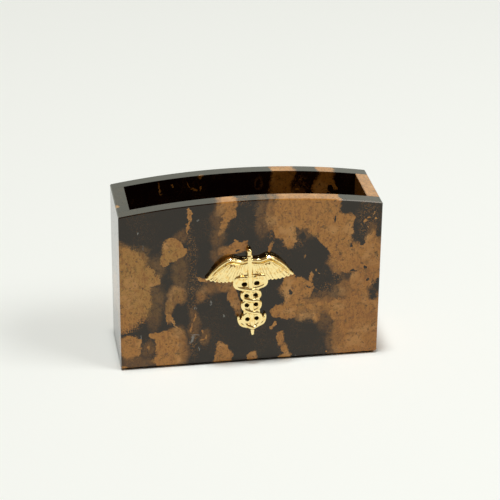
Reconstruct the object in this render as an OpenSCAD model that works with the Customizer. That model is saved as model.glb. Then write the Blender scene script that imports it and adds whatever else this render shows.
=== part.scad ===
// Desk pen cup: a flat stone trough with an arched rim, five polished slabs glued edge to edge,
// with a cast emblem on the front and a felt pad underneath. Sizes are in millimetres.
// The origin is the middle of the felt's underside, +X runs to the right and +Y to the back.

/* [Stone trough] */
// Overall width across the front
cup_w = 120.6; // [80:0.1:180]
// Overall depth from the front face to the back face
cup_d = 38; // [28:0.5:70]
// Height of the stone at its two ends
end_h = 76.7; // [64:0.1:120]
// Rise of the rim from its ends to its middle
arch_rise = 4.85; // [2:0.05:12]
// Thickness of the front and back panels
face_t = 6; // [4:0.1:9]
// Thickness of the two end panels
end_t = 6; // [4:0.1:12]
// Thickness of the floor panel
floor_t = 6; // [3:0.1:12]
// Chamfer on the outside edges
outer_arris = 0.4; // [0.2:0.1:1.5]
// Chamfer round the inside of the rim
inner_arris = 0.3; // [0.1:0.1:1]

/* [Adhesive] */
// Thickness of the films in the stone joints
joint_film = 0.15; // [0.05:0.05:0.5]
// Thickness of the pads behind the emblem
pad_film = 0.2; // [0.1:0.05:0.5]
// Diameter of the pads behind the wings
wing_pad_d = 4.5; // [2:0.1:6]
// Diameter of the pad behind the serpents
serpent_pad_d = 3.2; // [1.5:0.1:4]

/* [Felt pad] */
// Thickness of the felt
felt_t = 1; // [0.5:0.1:3]
// Distance of the felt's edge from the stone's edge
felt_inset = 1.2; // [0.5:0.1:5]
// Corner radius of the felt
felt_corner_r = 2; // [0.5:0.1:6]

/* [Emblem place] */
// Middle of the emblem, to the right of the cup's middle
emblem_x = -0.35; // [-15:0.05:15]
// Middle of the emblem, above the desk
emblem_z = 37.1; // [28:0.1:42]
// Turn of the emblem, counter-clockwise seen from the front
emblem_tilt = 2.6; // [-5:0.1:5]

/* [Emblem staff] */
// Length of the staff from tip to knob
staff_len = 44.8; // [40:0.1:50]
// Width of the staff
staff_d = 2.3; // [1.6:0.1:3]
// Diameter of the knob on the staff
knob_d = 2.6; // [2.4:0.1:4]
// Height of the staff above the flat back of the casting
staff_h = 2.6; // [1.8:0.1:3.5]
// Thickness of the plate that ties the staff and serpents together
plate_t = 0.9; // [0.6:0.1:1.2]
// Thickness of the web that fills the serpents' loops
web_t = 1.8; // [1.2:0.1:2]

/* [Emblem serpents] */
// Width of a serpent's body in the middle loops
serpent_d = 2.1; // [1.4:0.1:2.6]
// Width of a serpent's body in the top loop
neck_d = 2.6; // [1.8:0.1:3]
// Width of a tail just before its tip
tail_d = 1.4; // [0.8:0.1:1.8]
// Height of the serpents where nothing crosses
serpent_h = 2.1; // [1.5:0.1:3]
// Step between the upper and the lower serpent at a crossing
weave = 0.5; // [0.2:0.1:1]
// Middle of the top loop above the middle of the staff
top_loop_v = 4.6; // [3:0.1:6]
// Reach of the top loop from the staff's axis
top_loop_u = 7; // [5:0.1:8]
// Distance down from the top loop to the first middle loop
neck_pitch = 6; // [5:0.1:7]
// Distance down from the first middle loop to the second
loop_pitch = 4.9; // [4.6:0.1:6]
// Reach of the middle loops from the staff's axis
loop_u = 4; // [3.4:0.1:5]
// Width of the casting at the waists below the middle loops
waist_w = 7.8; // [5:0.1:9]
// Distance down from the second middle loop to the bottom loop
low_pitch = 7.2; // [6:0.1:8]
// Distance down from the bottom loop to where the tails cross
tail_drop = 4.4; // [3:0.1:5]
// Reach of the tails from the staff's axis
tail_u = 6.1; // [5.6:0.1:7.5]
// Rise of the tail tips above the middle of the bottom loop
tail_rise = 1.9; // [0.5:0.1:3]
// Diameter of the pierced eyes inside the loops
eye_d = 2; // [1:0.1:2.2]

/* [Emblem wings] */
// Width from wing tip to wing tip
wing_span = 39.8; // [34:0.1:46]
// Height of the wing tips above the middle of the staff
wing_tip_v = 9; // [8:0.1:11]
// Distance of the wing's crest from the staff's axis
crest_u = 8.8; // [7:0.1:11]
// Height of the wing's crest above the middle of the staff
crest_v = 18.9; // [17:0.1:21]
// Height of the wing's top edge at the staff
root_v = 17.3; // [15:0.1:18]
// Height of the lowest feather tips
hem_v = 6.7; // [6:0.1:8]
// Outward bow of the leading edge between crest and tip
wing_bow = 1.2; // [0.5:0.1:2.5]
// Droop of the right wing below the mirror image of the left
right_droop = 5; // [0:0.5:8]
// Width of the rib along the leading edge
edge_rib_d = 1.6; // [1:0.1:2]
// Height of that rib at the crest
ridge_h = 3.2; // [2.6:0.1:4]
// Distance from the leading edge's rib to the rib of coverts below it
covert_drop = 1.9; // [1.4:0.1:2.4]
// Thickness of the plate behind the feathers
wing_t = 1.3; // [0.9:0.1:1.5]
// Long feathers in a wing
long_feathers = 11; // [6:1:14]
// Half width of a long feather
feather_r = 0.9; // [0.5:0.01:1]
// Height of the quill ridge along a feather
quill_h = 0.3; // [0.1:0.05:0.6]
// Step in height from one tier of feathers to the next
tier_step = 0.4; // [0.2:0.05:0.6]

/* [Hidden] */

// Stone: the base stands on the felt, and the rim is one arc about an axis along Y
stone_z = felt_t;
apex_z = stone_z + end_h + arch_rise;
arch_r = (pow(cup_w / 2, 2) + pow(arch_rise, 2)) / (2 * arch_rise);
arch_axis_z = apex_z - arch_r;
function rim_z(x) = arch_axis_z + sqrt(pow(arch_r, 2) - pow(x, 2));
inner_x = cup_w / 2 - end_t;
inner_y = cup_d / 2 - face_t;
// Distance by which a cutting solid passes the face that it cuts through
past = 1;
// Facets in a full turn of the rim's arc, of which the rim takes about a twentieth
arch_fn = 720;

// Emblem: u runs right and v up from the middle of the staff, and heights stand off its flat back
emblem_y = -cup_d / 2 - pad_film;
loops_v = [
    top_loop_v,
    top_loop_v - neck_pitch,
    top_loop_v - neck_pitch - loop_pitch,
    top_loop_v - neck_pitch - loop_pitch - low_pitch
];
loops_u = [top_loop_u, loop_u, loop_u, loop_u];
crossings_v = [
    (loops_v[0] + loops_v[1]) / 2,
    (loops_v[1] + loops_v[2]) / 2,
    (loops_v[2] + loops_v[3]) / 2,
    loops_v[3] - tail_drop
];
wing_tip = [wing_span / 2, wing_tip_v];
wing_crest = [crest_u, crest_v - edge_rib_d / 2];
// Share of a rib's height that its rounded top takes
crown_share = 0.5;
// Sections along one stretch of a rib, and points across its rounded top
rib_steps = 3;
rib_arc = 5;
feather_fn = 8;
round_fn = 24;
boss_fn = 16;
// Angles up the side of a dome at which its rings lie
dome_rings = [0, 35, 65];
// Serpents: where the shoulders of a loop lie, out towards its reach and towards the next crossing
shoulder_share = 0.78;
shoulder_rise = 0.62;
// Feathers: lean below level and depth of the wing at its outer and inner feathers
lean_out = 41;
lean_in = 60;
depth_out = 12.9;
depth_in = 9;
// Width of a feather along its length, both as shares, and width of its quill as a share of the feather's
feather_form = [[0, 0.7], [0.6, 1], [1, 0.75]];
quill_share = 0.15;
// Tiers of feathers from the lowest up: root and tip as shares of the wing's depth above the hem
tiers = [[0.72, 0], [0.8, 0.42]];
// Share of their height that the feathers lose towards the staff
root_dip = 0.25;
// Edge of the plate behind the feathers, past the middles of their tips, as a share of the wing's depth
plate_share = 0.015;
// The ridge's section: its outer wall and its inner one as shares of its height,
// and the two edges of its flat top as shares of half its width
ridge_wall = 0.7;
ridge_heel = 0.8;
ridge_top = [0.2, -0.5];
// Coverts: their distance from the ridge at each point of its line, and their width and height, as shares
covert_taper = [0.8, 0.9, 1, 0.95, 0.7, 0.3];
covert_share = 0.9;
// Undersides of the parts in relief, at different depths inside the plate
staff_z = 0.3 * plate_t;
serpents_z = [0.4 * plate_t, 0.5 * plate_t];
boss_z = 0.6 * plate_t;
feather_z = 0.7 * plate_t;
ridge_z = 0.2 * plate_t;
covert_z = 0.8 * plate_t;
// Width of the plate under a rib, as a share of the rib's width
print_share = 0.86;

// A smooth curve through the points p, with steps samples in each stretch
function curve_at(p, i, f) =
    let (a = p[max(i - 1, 0)], b = p[i], c = p[i + 1], d = p[min(i + 2, len(p) - 1)])
    b + f / 2 * (c - a + f * (2 * a - 5 * b + 4 * c - d + f * (3 * (b - c) + d - a)));
function curve(p, steps) = concat(
    [for (i = [0 : len(p) - 2]) for (k = [0 : steps - 1]) curve_at(p, i, k / steps)],
    [p[len(p) - 1]]
);
function unit(v) = v / norm(v);
function flat(p) = [p[0], p[1]];
function along(a, b, f) = a + f * (b - a);
function out_of(a, b) = let (d = unit(b - a)) [-d[1], d[0]];

// Stone

module chamfered_plan() {
    x = cup_w / 2;
    y = cup_d / 2;
    c = outer_arris;
    polygon([
        [-x + c, -y], [x - c, -y], [x, -y + c], [x, y - c],
        [x - c, y], [-x + c, y], [-x, y - c], [-x, -y + c]
    ]);
}

module chamfered_front() {
    x = cup_w / 2;
    c = outer_arris;
    top = rim_z(x) - c;
    slope = (rim_z(x - c) - top) / c;
    reach = 3 * c;
    right = [
        [x - c, stone_z], [x, stone_z + c], [x, top],
        [x - reach, top + reach * slope], [x - reach, apex_z + reach * slope]
    ];
    left = [for (i = [len(right) - 1 : -1 : 0]) [-right[i][0], right[i][1]]];
    polygon(concat(right, left));
}

module chamfered_side() {
    y = cup_d / 2;
    c = outer_arris;
    polygon([
        [-y + c, stone_z], [y - c, stone_z], [y, stone_z + c],
        [y, apex_z + past], [-y, apex_z + past], [-y, stone_z + c]
    ]);
}

// The solid inside the rim's arc, with its two long edges chamfered
module arch_drum() {
    y = cup_d / 2;
    c = outer_arris;
    translate([0, 0, arch_axis_z])
        rotate([90, 0, 0])
            rotate_extrude($fn = arch_fn)
                polygon([
                    [0, -y], [arch_r - c, -y], [arch_r, -y + c],
                    [arch_r, y - c], [arch_r - c, y], [0, y]
                ]);
}

// The trough before it is hollowed, with every outside edge chamfered
module trough_block() {
    intersection() {
        arch_drum();
        translate([0, 0, stone_z])
            linear_extrude(apex_z - stone_z + past)
                chamfered_plan();
        rotate([90, 0, 0])
            linear_extrude(cup_d + 2 * past, center = true)
                chamfered_front();
        rotate([90, 0, 90])
            linear_extrude(cup_w + 2 * past, center = true)
                chamfered_side();
    }
}

// The chamfer round the inside of the rim, as a solid to cut away
module rim_flare() {
    c = inner_arris;
    low = rim_z(inner_x) - c;
    slope = (rim_z(inner_x + c) - low) / c;
    reach = 3 * c;
    right = [[inner_x, low], [inner_x + reach, low + reach * slope], [inner_x + reach, apex_z + past]];
    left = [for (i = [len(right) - 1 : -1 : 0]) [-right[i][0], right[i][1]]];
    intersection() {
        translate([0, 0, arch_axis_z])
            rotate([90, 0, 0])
                rotate_extrude($fn = arch_fn)
                    polygon([
                        [arch_r - c, -inner_y], [arch_r + past, -inner_y - c - past],
                        [arch_r + past, inner_y + c + past], [arch_r - c, inner_y]
                    ]);
        rotate([90, 0, 0])
            linear_extrude(cup_d + 2 * past, center = true)
                polygon(concat(right, left));
    }
}

// What the trough keeps between two corners in plan, up to the rim
module stone_cut(from, to) {
    difference() {
        intersection() {
            trough_block();
            translate([from[0], from[1], stone_z - past])
                cube([to[0] - from[0], to[1] - from[1], apex_z - stone_z + 2 * past]);
        }
        rim_flare();
    }
}

module long_panel(side) {
    outer = side * (cup_d / 2 + past);
    inner = side * inner_y;
    reach = cup_w / 2 + past;
    stone_cut([-reach, min(outer, inner)], [reach, max(outer, inner)]);
}

module end_panel(side) {
    outer = side * (cup_w / 2 + past);
    inner = side * inner_x;
    reach = inner_y - joint_film;
    stone_cut([min(outer, inner), -reach], [max(outer, inner), reach]);
}

module corner_film(side_x, side_y) {
    outer = side_x * (cup_w / 2 + past);
    inner = side_x * inner_x;
    stone = side_y * inner_y;
    end = side_y * (inner_y - joint_film);
    stone_cut([min(outer, inner), min(stone, end)], [max(outer, inner), max(stone, end)]);
}

module front_panel() {
    color("#4a3c2c") long_panel(-1);
}

module back_panel() {
    color("#443829") long_panel(1);
}

module left_end_panel() {
    color("#3b3128") end_panel(-1);
}

module right_end_panel() {
    color("#8a6438") end_panel(1);
}

module floor_panel() {
    x = inner_x - joint_film;
    y = inner_y - joint_film;
    color("#3b3128")
        translate([-x, -y, stone_z])
            cube([2 * x, 2 * y, floor_t]);
}

module corner_bonds() {
    color("#6e6250")
        for (side_x = [-1, 1])
            for (side_y = [-1, 1])
                corner_film(side_x, side_y);
}

module floor_bond() {
    color("#6e6250")
        translate([0, 0, stone_z])
            linear_extrude(floor_t)
                difference() {
                    square([2 * inner_x, 2 * inner_y], center = true);
                    square([2 * (inner_x - joint_film), 2 * (inner_y - joint_film)], center = true);
                }
}

module felt_base_pad() {
    x = cup_w / 2 - felt_inset;
    y = cup_d / 2 - felt_inset;
    r = felt_corner_r;
    color("#1c1b1a")
        linear_extrude(felt_t) {
            square([2 * (x - r), 2 * y], center = true);
            square([2 * x, 2 * (y - r)], center = true);
            for (side_x = [-1, 1])
                for (side_y = [-1, 1])
                    translate([side_x * (x - r), side_y * (y - r)])
                        circle(r, $fn = round_fn);
        }
}

// Emblem

// A cast rib with straight sides and a rounded top, swept along a curve from the level z up.
// Each point of the line is [u, v, half width, height].
function rib_section(half_w, height, z) =
    let (crown = min(half_w, crown_share * (height - z)))
    concat(
        [[half_w, z]],
        [for (k = [0 : rib_arc])
            let (a = 180 * k / rib_arc)
            [half_w * cos(a), height - crown + crown * sin(a)]],
        [[-half_w, z]]
    );
// The same with a wall on its outer side, which slopes in to a flat top
function ridge_section(half_w, height, z) = [
    [half_w, z], [half_w, ridge_wall * height], [ridge_top[0] * half_w, height],
    [ridge_top[1] * half_w, height], [-half_w, ridge_heel * height], [-half_w, z]
];
function rib_across(path, i) = out_of(flat(path[max(i - 1, 0)]), flat(path[min(i + 1, len(path) - 1)]));

module cast_rib(line, z, steps = rib_steps, ridged = false) {
    path = curve(line, steps);
    last = len(path) - 1;
    sections = [for (q = path) ridged ? ridge_section(q[2], q[3], z) : rib_section(q[2], q[3], z)];
    sides = len(sections[0]);
    points = [for (i = [0 : last])
        let (across = rib_across(path, i))
        for (s = sections[i])
            [path[i][0] + s[0] * across[0], path[i][1] + s[0] * across[1], s[1]]];
    walls = [for (i = [0 : last - 1]) for (k = [0 : sides - 1])
        let (a = i * sides + k, b = i * sides + (k + 1) % sides)
        each [[a, a + sides, b], [b, a + sides, b + sides]]];
    start = [for (k = [0 : sides - 1]) k];
    end = [for (k = [sides - 1 : -1 : 0]) last * sides + k];
    polyhedron(points, concat(walls, [start, end]));
}

// The outline of the plate under a rib, which stops half a step short of the rib's ends
module rib_print(line) {
    path = curve(line, rib_steps);
    edges = [for (i = [0 : len(path) - 1])
        let (half = print_share * path[i][2] * rib_across(path, i))
        [flat(path[i]) + half, flat(path[i]) - half]];
    middles = [for (i = [0 : len(path) - 2]) (edges[i] + edges[i + 1]) / 2];
    for (i = [0 : len(middles) - 2])
        polygon([middles[i][0], middles[i][1], middles[i + 1][1], middles[i + 1][0]]);
}

// A dome with straight sides
module round_boss(at, r, height) {
    translate(concat(at, boss_z))
        hull()
            for (a = dome_rings)
                cylinder(r = r * cos(a), h = height - r + r * sin(a) - boss_z, $fn = boss_fn);
}

// The staff, pointed below, with a collar and a knob at its top
staff_top = staff_len / 2;
staff_line = let (r = staff_d / 2) [
    [0, -staff_top, 0.4 * r, 0.6 * staff_h],
    [0, -staff_top + 0.3 * staff_d, 0.7 * r, 0.8 * staff_h],
    [0, -staff_top + 1.5 * staff_d, r, staff_h],
    [0, staff_top - knob_d / 2, r, staff_h]
];

module staff() {
    proud = staff_h + 0.1 * knob_d;
    cast_rib(staff_line, staff_z, 1);
    round_boss([0, staff_top - knob_d / 2], knob_d / 2, proud);
    hull()
        for (side = [-1, 1])
            round_boss([side * 0.3 * knob_d, staff_top - 1.5 * knob_d], 0.24 * knob_d, proud);
}

// One serpent from tail tip to neck. It changes sides at every crossing. Where over is 1 it passes
// above the other serpent at the first and third crossing from the top, and where over is 0 at the rest.
function serpent_line(side, over) = concat(
    [
        [side * tail_u, loops_v[3] + tail_rise, tail_d / 4, 0.7 * serpent_h],
        [side * (tail_u + 0.1), loops_v[3] + tail_rise / 2, tail_d / 2, 0.8 * serpent_h],
        [side * 0.97 * tail_u, loops_v[3] - 0.25 * tail_drop, 0.6 * tail_d, 0.9 * serpent_h],
        [side * 0.78 * tail_u, loops_v[3] - 0.62 * tail_drop, 0.75 * tail_d, serpent_h],
        [side * 0.42 * tail_u, loops_v[3] - 0.9 * tail_drop, 0.4 * serpent_d, serpent_h]
    ],
    [for (i = [3 : -1 : 0])
        let (
            turn = side * (i % 2 == 0 ? 1 : -1),
            body = (i == 0 ? neck_d : serpent_d) / 2,
            lift = ((i + over) % 2 == 0 ? 1 : -1) * weave,
            shoulder = turn * shoulder_share * loops_u[i]
        )
        each concat(
            [
                [0, crossings_v[i], serpent_d / 2, staff_h + lift],
                [shoulder, along(loops_v[i], crossings_v[i], shoulder_rise), serpent_d / 2, serpent_h],
                [turn * loops_u[i], loops_v[i], body, serpent_h]
            ],
            i == 0 ? [] :
                [[shoulder, along(loops_v[i], crossings_v[i - 1], shoulder_rise), serpent_d / 2, serpent_h]]
        )],
    [
        [side * 0.9 * top_loop_u, loops_v[0] + neck_d, neck_d / 2, serpent_h],
        [side * 0.66 * top_loop_u, loops_v[0] + 1.38 * neck_d, 0.42 * neck_d, serpent_h + weave],
        [side * 0.5 * top_loop_u, loops_v[0] + 1.26 * neck_d, 0.3 * neck_d, serpent_h]
    ]
);
serpents = [serpent_line(1, 1), serpent_line(-1, 0)];

// A head, wide at the cheeks and blunt at the snout, looking at the staff from under the wing
module serpent_head(side) {
    snout = [side * 0.75 * staff_d, loops_v[0] + 1.15 * neck_d];
    cheek = [side * 0.54 * top_loop_u, loops_v[0] + 1.3 * neck_d];
    brow_r = 0.12 * neck_d;
    hull() {
        round_boss(snout, 0.26 * neck_d, serpent_h);
        round_boss(cheek, 0.44 * neck_d, serpent_h + weave);
    }
    for (brow = [-2, 2])
        round_boss(along(cheek, snout, 0.35) + [0, brow * brow_r], brow_r, serpent_h + 1.6 * weave);
}

// A bar of the web across the staff, with round ends
module web_bar(v, half_w, r) {
    hull()
        for (side = [-1, 1])
            translate([side * (half_w - r), v])
                circle(r, $fn = round_fn);
}

// The web that fills the loops and their waists, runs up under the heads and down to the tails
module loop_web() {
    for (i = [1 : 3]) {
        top = crossings_v[i - 1];
        bottom = crossings_v[i];
        web_bar((top + bottom) / 2, loops_u[i], 0.4 * (top - bottom));
    }
    for (i = [1, 2])
        web_bar(crossings_v[i], waist_w / 2, 0.45 * serpent_d);
    hull()
        for (side = [-1, 1]) {
            translate([side * (top_loop_u - neck_d / 2), loops_v[0]])
                circle(neck_d / 2, $fn = round_fn);
            translate([side * 0.54 * top_loop_u, loops_v[0] + 1.3 * neck_d])
                circle(0.37 * neck_d, $fn = round_fn);
            translate([side * 0.5 * loop_u, crossings_v[0]])
                circle(serpent_d / 2, $fn = round_fn);
        }
    hull() {
        for (side = [-1, 1])
            translate([side * (tail_u - 0.5 * tail_d), loops_v[3] - 0.4 * tail_d])
                circle(0.6 * tail_d, $fn = round_fn);
        translate([0, crossings_v[3]])
            circle(0.4 * serpent_d, $fn = round_fn);
    }
}

// The eyes pierced between the serpents and the staff, the top pair drawn out sideways
module loop_eyes() {
    for (i = [0 : 3])
        for (side = [-1, 1])
            translate([side * (staff_d + eye_d) / 2, loops_v[i], -past])
                hull()
                    for (shift = i == 0 ? [0.2 * eye_d, 0.5 * eye_d] : [0])
                        translate([side * shift, 0])
                            cylinder(d = eye_d, h = staff_h + serpent_h + past, $fn = boss_fn);
}

// Lower edge of the wing, from its tip in along the feather tips to the staff
hem_end = [1.3 * staff_d, hem_v + edge_rib_d];
hem_mid = [along(hem_end[0], wing_tip[0], 0.46), hem_v];
hem_pull = 2 * hem_mid - (wing_tip + hem_end) / 2;
function hem(f) = pow(1 - f, 2) * wing_tip + 2 * f * (1 - f) * hem_pull + pow(f, 2) * hem_end;

// Leading edge: level out from the staff, up over the crest and down in a bow to the tip
edge_line = let (
        out = -wing_bow * out_of(wing_tip, wing_crest),
        r = edge_rib_d / 2
    ) [
        [0.2 * staff_d, root_v - r, r, staff_h - tier_step],
        [0.5 * crest_u, root_v - r, r, 0.85 * ridge_h],
        [wing_crest[0], wing_crest[1], r, ridge_h],
        concat(along(wing_crest, wing_tip, 0.33) + out, [r, 0.95 * ridge_h]),
        concat(along(wing_crest, wing_tip, 0.67) + 0.75 * out, [0.8 * r, 0.8 * ridge_h]),
        concat(along(wing_crest, wing_tip, 0.97), [0.45 * r, 0.55 * ridge_h])
    ];
// Coverts: a second ridge below the first, which runs into it at the tip
covert_line = [for (i = [0 : len(edge_line) - 1])
    let (in = -covert_drop * covert_taper[i] * rib_across(edge_line, i))
    concat(flat(edge_line[i]) + in, covert_share * [edge_line[i][2], edge_line[i][3]])];

// Feathers: f runs from 0 at the outermost to 1 at the innermost.
// The depth of the wing along a feather is measured from the hem to the leading edge.
function ray(f) = let (a = along(lean_out, lean_in, f)) [cos(a), -sin(a)];
function depth(f) = along(depth_out, depth_in, pow(f, 2));
function up_feather(f, share) = hem(f) - share * depth(f) * ray(f);

// A feather with a ridged quill, widest past its middle
module feather(root, tip, r, root_h, tip_h) {
    hull()
        for (s = feather_form) {
            height = along(root_h, tip_h, s[0]) - feather_z;
            translate(concat(along(root, tip, s[0]), feather_z)) {
                cylinder(r = r * s[1], h = height - quill_h, $fn = feather_fn);
                cylinder(r = quill_share * r * s[1], h = height, $fn = 4);
            }
        }
}

// Tiers of feathers, each lying on the one below, under the coverts and the leading edge
module wing() {
    for (k = [0 : len(tiers) - 1])
        for (i = [0 : long_feathers - 1 - k]) {
            f = (i + k / 2) / (long_feathers - 1);
            high = (serpent_h + k * tier_step) * (1 - root_dip * pow(f, 3));
            feather(
                up_feather(f, tiers[k][0]), up_feather(f, tiers[k][1]),
                feather_r, high, high - tier_step
            );
        }
    cast_rib(edge_line, ridge_z, ridged = true);
    cast_rib(covert_line, covert_z, ridged = true);
}

module wing_outline() {
    path = curve(edge_line, rib_steps);
    polygon(concat(
        [for (i = [0 : len(path) - 2]) flat(path[i])],
        [for (f = [0.05 : 0.1 : 1]) up_feather(f, -plate_share)],
        [[0, hem_end[1]]]
    ));
    rib_print(edge_line);
}

// Puts what is drawn for one wing on both sides of the staff
module both_wings() {
    pivot = (root_v + hem_v) / 2;
    mirror([1, 0, 0]) children();
    translate([0, pivot])
        rotate(-right_droop)
            translate([0, -pivot])
                children();
}

module back_plate() {
    linear_extrude(plate_t) {
        for (line = serpents)
            rib_print(line);
        translate([-print_share * staff_d / 2, staff_d - staff_top])
            square([print_share * staff_d, staff_len - staff_d - knob_d]);
    }
    linear_extrude(wing_t)
        both_wings() wing_outline();
    linear_extrude(web_t)
        loop_web();
}

module emblem_casting() {
    difference() {
        union() {
            back_plate();
            staff();
            for (i = [0, 1]) {
                cast_rib(serpents[i], serpents_z[i]);
                serpent_head(1 - 2 * i);
            }
            both_wings() wing();
        }
        loop_eyes();
    }
}

// Puts what is drawn in u and v on the front of the cup
module on_front(y) {
    translate([emblem_x, y, emblem_z])
        rotate([90, 0, 0])
            rotate([0, 0, emblem_tilt])
                children();
}

module emblem() {
    color("#e8bf55") on_front(emblem_y) emblem_casting();
}

module emblem_bond() {
    wing_pad = up_feather(0.4, 0.5);
    color("#d8d2c2")
        on_front(-cup_d / 2) {
            both_wings()
                translate(wing_pad)
                    cylinder(d = wing_pad_d, h = pad_film, $fn = round_fn);
            translate([0, crossings_v[2]])
                cylinder(d = serpent_pad_d, h = pad_film, $fn = round_fn);
        }
}

front_panel();
back_panel();
left_end_panel();
right_end_panel();
floor_panel();
corner_bonds();
floor_bond();
emblem();
emblem_bond();
felt_base_pad();
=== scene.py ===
# Stone pen cup: five polished slabs glued into a trough, a gold-plated emblem and a felt pad
import math
import bmesh
import bpy
import numpy as np
from mathutils import Matrix, Vector


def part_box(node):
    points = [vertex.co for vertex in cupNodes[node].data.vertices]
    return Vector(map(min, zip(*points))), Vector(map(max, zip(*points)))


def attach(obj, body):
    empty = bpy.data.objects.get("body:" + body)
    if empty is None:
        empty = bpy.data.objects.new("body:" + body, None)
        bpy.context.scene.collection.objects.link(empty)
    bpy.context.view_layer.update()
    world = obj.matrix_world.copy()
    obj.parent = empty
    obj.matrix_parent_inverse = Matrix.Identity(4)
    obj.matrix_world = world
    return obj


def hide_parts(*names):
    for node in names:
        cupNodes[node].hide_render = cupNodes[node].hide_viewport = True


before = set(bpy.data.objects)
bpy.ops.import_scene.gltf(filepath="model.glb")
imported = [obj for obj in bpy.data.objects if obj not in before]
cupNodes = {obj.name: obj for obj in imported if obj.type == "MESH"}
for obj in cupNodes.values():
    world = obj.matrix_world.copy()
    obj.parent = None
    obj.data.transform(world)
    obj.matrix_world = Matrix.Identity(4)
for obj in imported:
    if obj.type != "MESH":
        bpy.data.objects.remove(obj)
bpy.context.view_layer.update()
mm = 0.001
print("frame loaded,", len(cupNodes), "nodes")

# Settings that many nodes share
plus = {"operation": "ADD"}
minus = {"operation": "SUBTRACT"}
times = {"operation": "MULTIPLY"}
timesPlus = {"operation": "MULTIPLY_ADD"}
larger = {"operation": "MAXIMUM"}
scaleBy = {"operation": "SCALE"}
smooth = {"interpolation_type": "SMOOTHSTEP"}
colourMix = {"data_type": "RGBA"}  # inputs 0, 6 and 7 are the share and two colours, output 2 the result


def linear(hexCode):
    # sRGB hex to linear RGBA
    parts = [int(hexCode[i:i + 2], 16) / 255 for i in (1, 3, 5)]
    return [c / 12.92 if c <= 0.04045 else ((c + 0.055) / 1.055) ** 2.4 for c in parts] + [1]


def addNode(tree, kind, settings=None, inputs=None):
    # an input is a socket to link from, or a plain value
    node = tree.nodes.new("ShaderNode" + kind)
    for name, value in (settings or {}).items():
        setattr(node, name, value)
    for socket, value in (inputs or {}).items():
        if isinstance(value, bpy.types.NodeSocket):
            tree.links.new(value, node.inputs[socket])
        else:
            node.inputs[socket].default_value = value
    return node


def levels(look, name):
    # where a mark starts and where it is full, on the scale of its noise or field
    start, full = look["levels"][name]
    return {"From Min": start, "From Max": full}


def newMaterial(name):
    # an empty shader, and the place on the piece in millimetres
    material = bpy.data.materials.new(name)
    material.use_nodes = True
    tree = material.node_tree
    tree.nodes.clear()
    shader = addNode(tree, "BsdfPrincipled")
    addNode(tree, "OutputMaterial", {}, {"Surface": shader.outputs[0]})
    coords = addNode(tree, "TexCoord").outputs["Object"]
    place = addNode(tree, "VectorMath", scaleBy, {0: coords, "Scale": 1 / mm})
    return material, tree, shader, place.outputs[0]


def coat(mesh, material):
    mesh.materials.clear()
    mesh.materials.append(material)


def addPiece(name, mesh, material, node):
    piece = bpy.data.objects.new(name, mesh)
    bpy.context.scene.collection.objects.link(piece)
    coat(mesh, material)
    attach(piece, "root")
    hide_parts(node)
    return piece


# Polished limestone, sawn, ground and buffed to a wet gloss: black-brown ground with drifting
# tan clouds whose edges run from crisp to smoky, dark pits in the tan and pale chips in the dark
stoneLook = {
    "ground": "#170806",
    "tan": "#bb7f38",
    "tanDeep": "#9d652d",
    "tanPale": "#c99150",
    "tanCool": "#b6843d",        # the greener tan of some clouds
    "olive": "#715323",
    "lowShade": "#f1ebe1",       # darkens the tan low on the right of the front
    "wellPaintedShade": "#d6cbb1",      # painted shade: darkens the tan inside the well, where little light reaches
    "pit": "#20140a",
    "chip": "#a0a19d",
    "waxTint": "#fffbed",        # of the reflections in the polish
    "ior": 1.5,
    "roughness": 0.05,
    "pitRoughness": 0.3,
    "pitDeepMm": 0.04,
    "pitBump": 0.3,
    "bends": ((9, 4.5), (2.4, 2.7), (0.8, 1.05)),  # mm, size and swing of the wander in a cloud's edge
    "grainMm": (0.9, 0.9, 3.5),  # upright streaks in the tan
    "dustMm": 0.6,               # real dust is finer, and this is coarse enough to show
    "fleckMm": 1.1,
    "pitMm": 1.5,
    "pitLargest": 0.3,           # radius, as a share of pitMm
    "mottleMm": 2.2,             # patches in the veils, and olive in the tan
    "toneMm": 8,                 # slow changes of tone
    "driftMm": 12,               # where the dust gathers
    "smokeMm": 15,               # where an edge is crisp or smoky
    "wildMm": 21,
    "wildFadeMm": 5,
    "wildSpan": 0.125,           # noise on each side of a wild cloud's level
    "wildHalo": 0.08,            # haze round a wild cloud
    "throughMm": 200,            # half size of a mark that runs right through its slab
    "flow": 0.06,                # how far neighbouring clouds run together
    "edge": 0.49,                # field at the edge of a tan cloud
    "edgeHalf": (0.03, 0.14),    # half width of that edge where it is crisp and where it is smoky
    "fray": (0.1, 0.42),         # fewest and most grains along the edge
    "veil": (0.88, 0.55),        # full cover, and the share of it in the thinnest patches
    "haze": (0.38, 0.3),
    "gritCover": 0.55,
    "dustCover": 0.12,
    # how strong each layer's colour is, and where each mark starts and is full
    "shares": {"streak": 0.9, "tone": 1, "olive": 0.6, "fleck": 0.7, "pit": 0.6, "chip": 0.55},
    "levels": {
        "streak": (0.45, 0.62), "tone": (0.5, 0.7), "olive": (0.53, 0.62), "fleck": (0.58, 0.67),
        "fray": (0.4, 0.6), "smoke": (0.42, 0.68), "patch": (0.36, 0.6), "fade": (0.3, 0.68),
        "dark": (0.42, 0.54), "dusty": (0.45, 0.65), "gritty": (0.25, 0.65), "grain": (0.5, 0.64),
        "soft": (0.35, 0.65), "pitted": (0.55, 1), "pit": (-0.06, 0.06),
    },
}
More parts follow.
